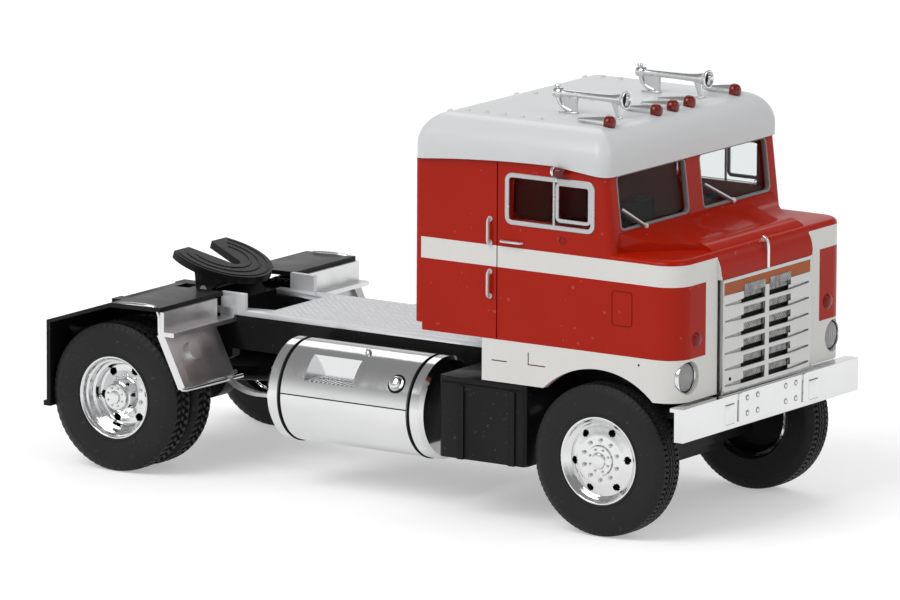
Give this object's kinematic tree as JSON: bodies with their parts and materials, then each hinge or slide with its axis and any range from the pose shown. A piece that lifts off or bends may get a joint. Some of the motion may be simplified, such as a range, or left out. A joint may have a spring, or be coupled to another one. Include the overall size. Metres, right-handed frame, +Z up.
{
  "type": "scale model semi truck tractor unit",
  "caption": "1:87 scale display model of a 1950s cab-over semi truck tractor with rolling wheels and a tilting coupling plate.",
  "frame": {"origin": "on the floor under the middle of the model, halfway between bumper face and mudguards and on the centre plane", "axes": "+X forward, +Y to the truck's left, +Z up"},
  "size_m": [0.0594, 0.0272, 0.0336],
  "materials": {
    "red_paint": "glossy moulded plastic, red with a white stripe and sills",
    "white_paint": "glossy moulded plastic, white",
    "chassis_black": "satin moulded plastic, black",
    "interior_black": "matt moulded plastic, black brown",
    "bright_plating": "vacuum plated plastic",
    "deck_silver": "silver, fine tread pattern",
    "printed_silver": "printed silver",
    "dark_mesh": "dark mesh",
    "orange_print": "printed orange brown",
    "clear_plastic": "clear plastic",
    "lamp_clear": "clear lens over silver",
    "lamp_red": "transparent red plastic",
    "tyre_rubber": "matt soft plastic",
    "steel_pin": "bright steel wire"
  },
  "bodies": {
    "root": {"air_horns": "bright_plating", "battery_boxes": "chassis_black", "cab_body": "red_paint", "cab_interior": "interior_black", "cab_roof": "white_paint", "coupling_pedestal": "chassis_black", "cross_members": "chassis_black", "deck_plate": "deck_silver", "door_handles": "printed_silver", "driveline": "chassis_black", "engine_block": "chassis_black", "frame_rail_left": "chassis_black", "frame_rail_right": "chassis_black", "front_axle_beam": "chassis_black", "front_bumper": "bright_plating", "front_springs": "chassis_black", "fuel_caps": "bright_plating", "fuel_tank_left": "bright_plating", "fuel_tank_right": "bright_plating", "grab_rails": "printed_silver", "grille": "bright_plating", "grille_strip": "orange_print", "headlamp_rims": "bright_plating", "headlamps": "lamp_clear", "mudguard_left": "chassis_black", "mudguard_right": "chassis_black", "nose_trim": "bright_plating", "quarter_fender_left": "bright_plating", "quarter_fender_right": "bright_plating", "radiator_mesh": "dark_mesh", "rear_springs": "chassis_black", "rear_windows": "clear_plastic", "roof_lamp_housings": "bright_plating", "roof_lamp_lenses": "lamp_red", "side_lamp_clips": "bright_plating", "side_lamps": "lamp_red", "side_window_frames": "printed_silver", "side_windows": "clear_plastic", "signal_lamps": "lamp_red", "steering_wheel": "interior_black", "windscreen_panes": "clear_plastic", "wipers": "printed_silver"},
    "front_axle": {"front_axle_pin": "steel_pin", "front_rim_left": "bright_plating", "front_rim_right": "bright_plating", "front_tyre_left": "tyre_rubber", "front_tyre_right": "tyre_rubber"},
    "rear_axle": {"rear_axle_pin": "steel_pin", "rear_rim_left": "bright_plating", "rear_rim_right": "bright_plating", "rear_tyres_left": "tyre_rubber", "rear_tyres_right": "tyre_rubber"},
    "coupling": {"coupling_pin": "steel_pin", "coupling_plate": "chassis_black"}
  },
  "joints": [
    {"name": "front_axle_roll", "type": "hinge", "parent": "root", "child": "front_axle", "pos_m": [0.02152, 0, 0.00595], "axis": [0, 1, 0], "continuous": true},
    {"name": "rear_axle_roll", "type": "hinge", "parent": "root", "child": "rear_axle", "pos_m": [-0.02297, 0, 0.00595], "axis": [0, 1, 0], "continuous": true},
    {"name": "coupling_tilt", "type": "hinge", "parent": "root", "child": "coupling", "pos_m": [-0.02127, 0, 0.0133], "axis": [0, 1, 0], "range_deg": [-30, 0]}
  ]
}
